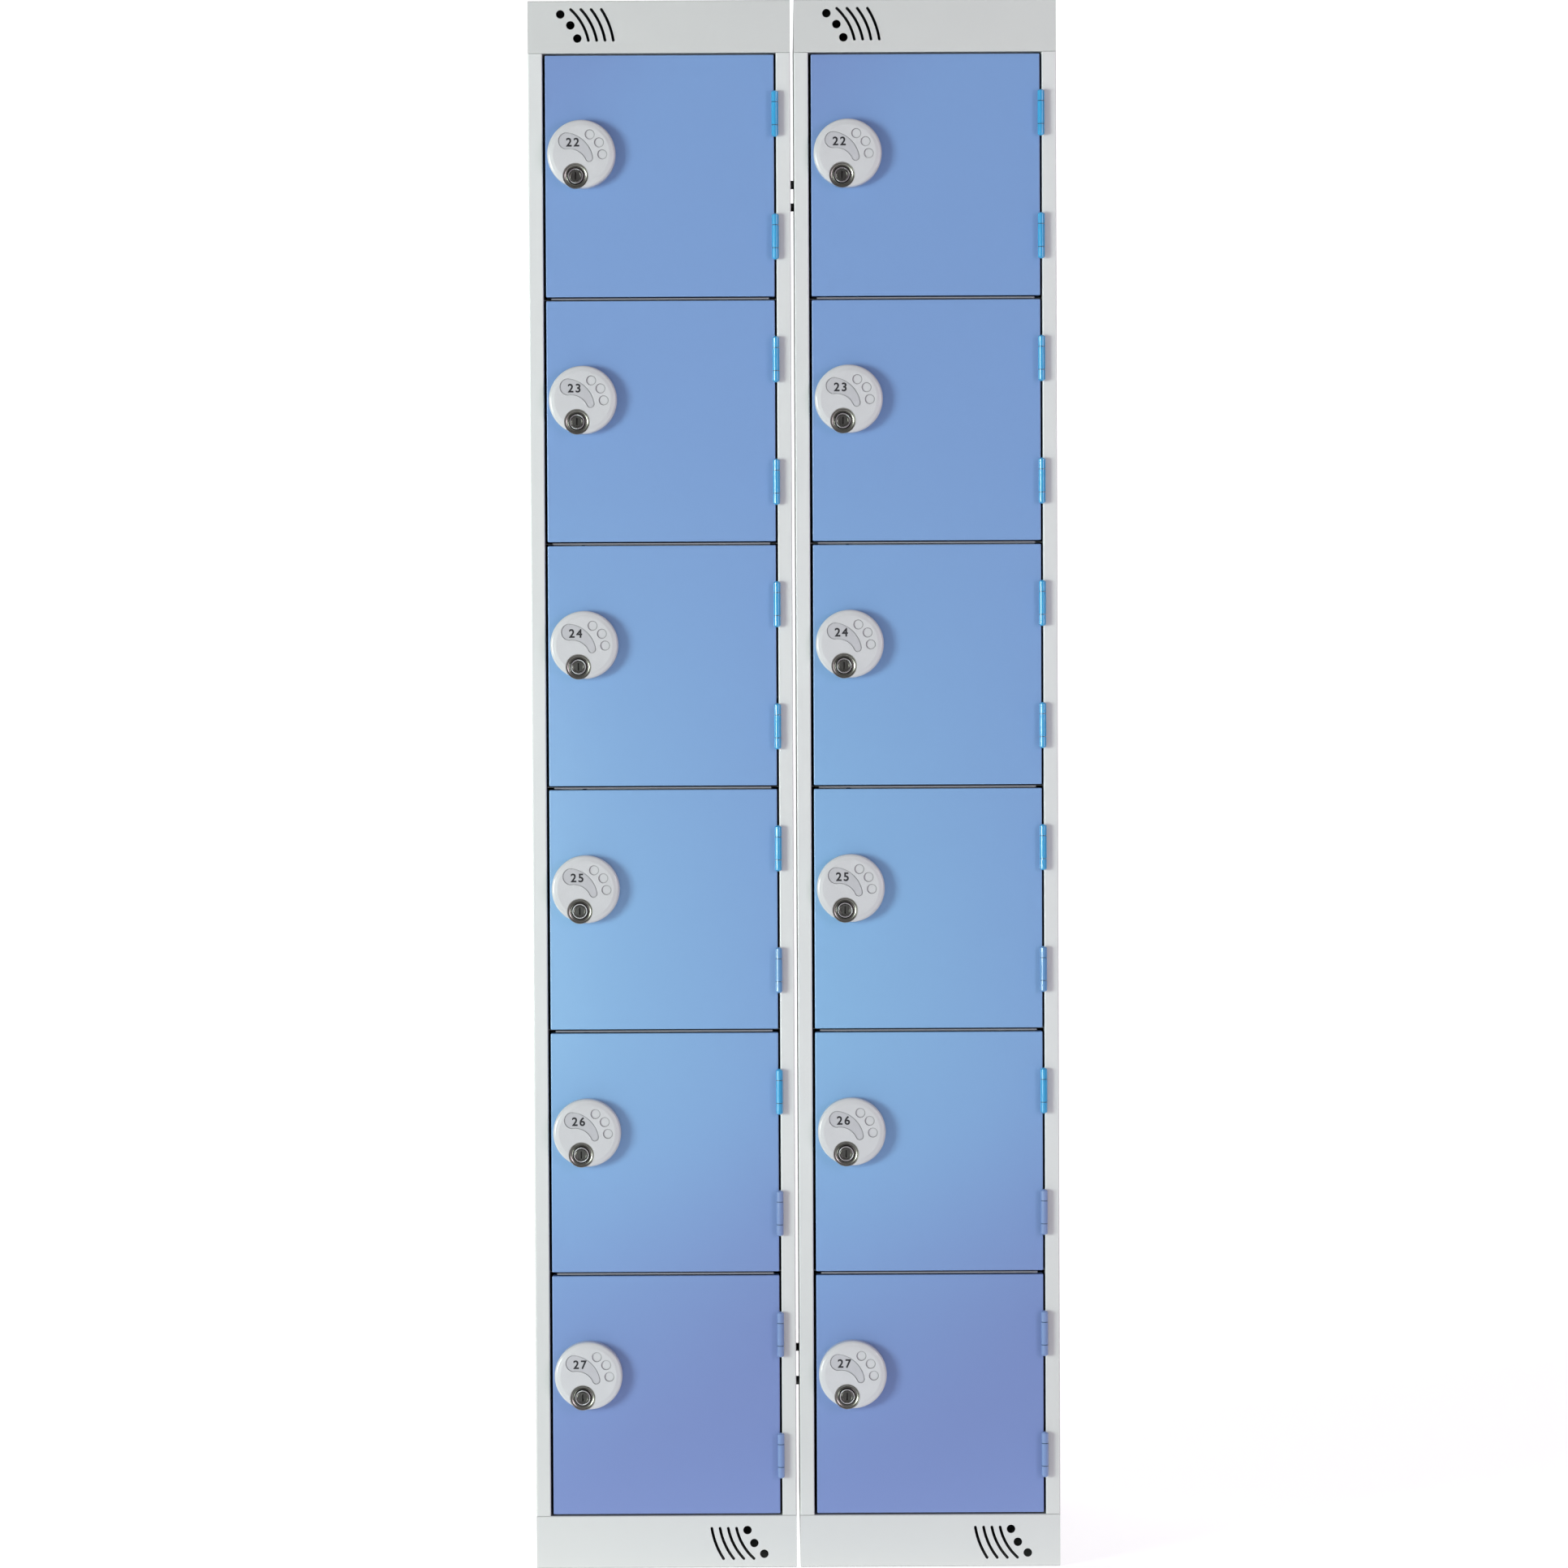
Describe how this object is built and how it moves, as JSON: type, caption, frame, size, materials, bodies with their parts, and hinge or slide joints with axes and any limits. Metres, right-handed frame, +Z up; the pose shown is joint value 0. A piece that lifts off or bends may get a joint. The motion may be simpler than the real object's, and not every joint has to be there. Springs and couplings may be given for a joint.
{
  "type": "school locker",
  "caption": "Nest of two steel locker columns with flush hinged doors, round lock covers on cam locks, shelves and vented fascias.",
  "frame": {"origin": "on the floor, in the middle of the nest's width and of its depth, lock covers included", "axes": "+Z up, the doors face -Y, +X to the right when the doors are faced"},
  "size_m": [0.604, 0.4634, 1.8],
  "materials": {
    "frame_paint": "light grey powder coat, fine orange peel",
    "door_paint": "pale blue powder coat, fine orange peel",
    "hinge_paint": "glossy blue paint",
    "cover_plastic": "fine stipple with a glossy rim",
    "lock_steel": "nickel plated",
    "rubber": "matte black",
    "zinc": "zinc plated"
  },
  "bodies": {
    "root": {"a_left_side": "frame_paint", "a_right_side": "frame_paint", "a_back": "frame_paint", "a_top": "frame_paint", "a_base": "frame_paint", "a_shelf_1": "frame_paint", "a_shelf_2": "frame_paint", "a_shelf_3": "frame_paint", "a_shelf_4": "frame_paint", "a_shelf_5": "frame_paint", "b_left_side": "frame_paint", "b_right_side": "frame_paint", "b_back": "frame_paint", "b_top": "frame_paint", "b_base": "frame_paint", "b_shelf_1": "frame_paint", "b_shelf_2": "frame_paint", "b_shelf_3": "frame_paint", "b_shelf_4": "frame_paint", "b_shelf_5": "frame_paint", "frame_hinge_halves": "hinge_paint", "hinge_pins": "hinge_paint", "door_buffers": "rubber", "nesting_fixings": "zinc"},
    "door_a1": {"a_door_1": "door_paint", "a_lock_cover_1": "cover_plastic"},
    "lock_a1": {"a_lock_1": "lock_steel"},
    "door_a2": {"a_door_2": "door_paint", "a_lock_cover_2": "cover_plastic"},
    "lock_a2": {"a_lock_2": "lock_steel"},
    "door_a3": {"a_door_3": "door_paint", "a_lock_cover_3": "cover_plastic"},
    "lock_a3": {"a_lock_3": "lock_steel"},
    "door_a4": {"a_door_4": "door_paint", "a_lock_cover_4": "cover_plastic"},
    "lock_a4": {"a_lock_4": "lock_steel"},
    "door_a5": {"a_door_5": "door_paint", "a_lock_cover_5": "cover_plastic"},
    "lock_a5": {"a_lock_5": "lock_steel"},
    "door_a6": {"a_door_6": "door_paint", "a_lock_cover_6": "cover_plastic"},
    "lock_a6": {"a_lock_6": "lock_steel"},
    "door_b1": {"b_door_1": "door_paint", "b_lock_cover_1": "cover_plastic"},
    "lock_b1": {"b_lock_1": "lock_steel"},
    "door_b2": {"b_door_2": "door_paint", "b_lock_cover_2": "cover_plastic"},
    "lock_b2": {"b_lock_2": "lock_steel"},
    "door_b3": {"b_door_3": "door_paint", "b_lock_cover_3": "cover_plastic"},
    "lock_b3": {"b_lock_3": "lock_steel"},
    "door_b4": {"b_door_4": "door_paint", "b_lock_cover_4": "cover_plastic"},
    "lock_b4": {"b_lock_4": "lock_steel"},
    "door_b5": {"b_door_5": "door_paint", "b_lock_cover_5": "cover_plastic"},
    "lock_b5": {"b_lock_5": "lock_steel"},
    "door_b6": {"b_door_6": "door_paint", "b_lock_cover_6": "cover_plastic"},
    "lock_b6": {"b_lock_6": "lock_steel"}
  },
  "joints": [
    {"name": "door_a1_hinge", "type": "hinge", "parent": "root", "child": "door_a1", "pos_m": [-0.0197, -0.22265, 1.6], "axis": [0, 0, 1], "range_deg": [0, 170]},
    {"name": "lock_a1_turn", "type": "hinge", "parent": "door_a1", "child": "lock_a1", "pos_m": [-0.2474, -0.21825, 1.59915], "axis": [0, 1, 0], "range_deg": [0, 90]},
    {"name": "door_a2_hinge", "type": "hinge", "parent": "root", "child": "door_a2", "pos_m": [-0.0197, -0.22265, 1.32], "axis": [0, 0, 1], "range_deg": [0, 170]},
    {"name": "lock_a2_turn", "type": "hinge", "parent": "door_a2", "child": "lock_a2", "pos_m": [-0.2474, -0.21825, 1.31915], "axis": [0, 1, 0], "range_deg": [0, 90]},
    {"name": "door_a3_hinge", "type": "hinge", "parent": "root", "child": "door_a3", "pos_m": [-0.0197, -0.22265, 1.04], "axis": [0, 0, 1], "range_deg": [0, 170]},
    {"name": "lock_a3_turn", "type": "hinge", "parent": "door_a3", "child": "lock_a3", "pos_m": [-0.2474, -0.21825, 1.03915], "axis": [0, 1, 0], "range_deg": [0, 90]},
    {"name": "door_a4_hinge", "type": "hinge", "parent": "root", "child": "door_a4", "pos_m": [-0.0197, -0.22265, 0.76], "axis": [0, 0, 1], "range_deg": [0, 170]},
    {"name": "lock_a4_turn", "type": "hinge", "parent": "door_a4", "child": "lock_a4", "pos_m": [-0.2474, -0.21825, 0.75915], "axis": [0, 1, 0], "range_deg": [0, 90]},
    {"name": "door_a5_hinge", "type": "hinge", "parent": "root", "child": "door_a5", "pos_m": [-0.0197, -0.22265, 0.48], "axis": [0, 0, 1], "range_deg": [0, 170]},
    {"name": "lock_a5_turn", "type": "hinge", "parent": "door_a5", "child": "lock_a5", "pos_m": [-0.2474, -0.21825, 0.47915], "axis": [0, 1, 0], "range_deg": [0, 90]},
    {"name": "door_a6_hinge", "type": "hinge", "parent": "root", "child": "door_a6", "pos_m": [-0.0197, -0.22265, 0.2], "axis": [0, 0, 1], "range_deg": [0, 170]},
    {"name": "lock_a6_turn", "type": "hinge", "parent": "door_a6", "child": "lock_a6", "pos_m": [-0.2474, -0.21825, 0.19915], "axis": [0, 1, 0], "range_deg": [0, 90]},
    {"name": "door_b1_hinge", "type": "hinge", "parent": "root", "child": "door_b1", "pos_m": [0.2843, -0.22265, 1.6], "axis": [0, 0, 1], "range_deg": [0, 170]},
    {"name": "lock_b1_turn", "type": "hinge", "parent": "door_b1", "child": "lock_b1", "pos_m": [0.0566, -0.21825, 1.59915], "axis": [0, 1, 0], "range_deg": [0, 90]},
    {"name": "door_b2_hinge", "type": "hinge", "parent": "root", "child": "door_b2", "pos_m": [0.2843, -0.22265, 1.32], "axis": [0, 0, 1], "range_deg": [0, 170]},
    {"name": "lock_b2_turn", "type": "hinge", "parent": "door_b2", "child": "lock_b2", "pos_m": [0.0566, -0.21825, 1.31915], "axis": [0, 1, 0], "range_deg": [0, 90]},
    {"name": "door_b3_hinge", "type": "hinge", "parent": "root", "child": "door_b3", "pos_m": [0.2843, -0.22265, 1.04], "axis": [0, 0, 1], "range_deg": [0, 170]},
    {"name": "lock_b3_turn", "type": "hinge", "parent": "door_b3", "child": "lock_b3", "pos_m": [0.0566, -0.21825, 1.03915], "axis": [0, 1, 0], "range_deg": [0, 90]},
    {"name": "door_b4_hinge", "type": "hinge", "parent": "root", "child": "door_b4", "pos_m": [0.2843, -0.22265, 0.76], "axis": [0, 0, 1], "range_deg": [0, 170]},
    {"name": "lock_b4_turn", "type": "hinge", "parent": "door_b4", "child": "lock_b4", "pos_m": [0.0566, -0.21825, 0.75915], "axis": [0, 1, 0], "range_deg": [0, 90]},
    {"name": "door_b5_hinge", "type": "hinge", "parent": "root", "child": "door_b5", "pos_m": [0.2843, -0.22265, 0.48], "axis": [0, 0, 1], "range_deg": [0, 170]},
    {"name": "lock_b5_turn", "type": "hinge", "parent": "door_b5", "child": "lock_b5", "pos_m": [0.0566, -0.21825, 0.47915], "axis": [0, 1, 0], "range_deg": [0, 90]},
    {"name": "door_b6_hinge", "type": "hinge", "parent": "root", "child": "door_b6", "pos_m": [0.2843, -0.22265, 0.2], "axis": [0, 0, 1], "range_deg": [0, 170]},
    {"name": "lock_b6_turn", "type": "hinge", "parent": "door_b6", "child": "lock_b6", "pos_m": [0.0566, -0.21825, 0.19915], "axis": [0, 1, 0], "range_deg": [0, 90]}
  ]
}
